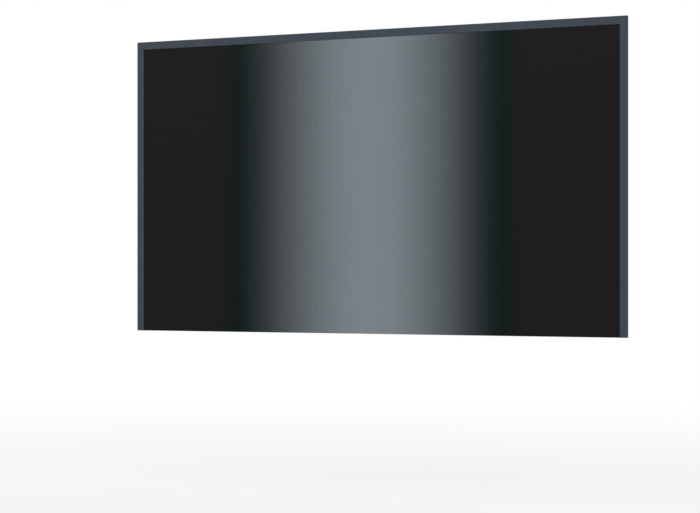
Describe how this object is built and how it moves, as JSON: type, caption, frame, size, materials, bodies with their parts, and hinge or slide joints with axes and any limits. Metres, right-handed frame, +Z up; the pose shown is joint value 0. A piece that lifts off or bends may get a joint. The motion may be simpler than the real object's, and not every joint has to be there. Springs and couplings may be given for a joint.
{
  "type": "monitor privacy filter",
  "caption": "Thin louvre film in a slim slate frame, open along the bottom, with magnet strips behind it that hold it on a screen's bezel, so that only someone in front can read the screen.",
  "frame": {"origin": "middle of the top magnet strip's back face, in the plane where the filter meets a screen's bezel", "axes": "+X across the screen to the viewer's right, +Y away from the viewer into the bezel, +Z up"},
  "size_m": [0.543, 0.0021, 0.3045],
  "materials": {
    "frame_plastic": "fine moulded texture, slate grey",
    "louvre_film": "satin anti-glare film, black with a smoky clear middle",
    "adhesive_tape": "thin double-sided acrylic tape",
    "magnet_rubber": "dull dark brown-black bonded ferrite"
  },
  "bodies": {
    "root": {"slim_frame": "frame_plastic", "privacy_film": "louvre_film", "film_tape": "adhesive_tape", "top_magnet_strip": "magnet_rubber", "left_magnet_strip": "magnet_rubber", "right_magnet_strip": "magnet_rubber"}
  },
  "joints": []
}
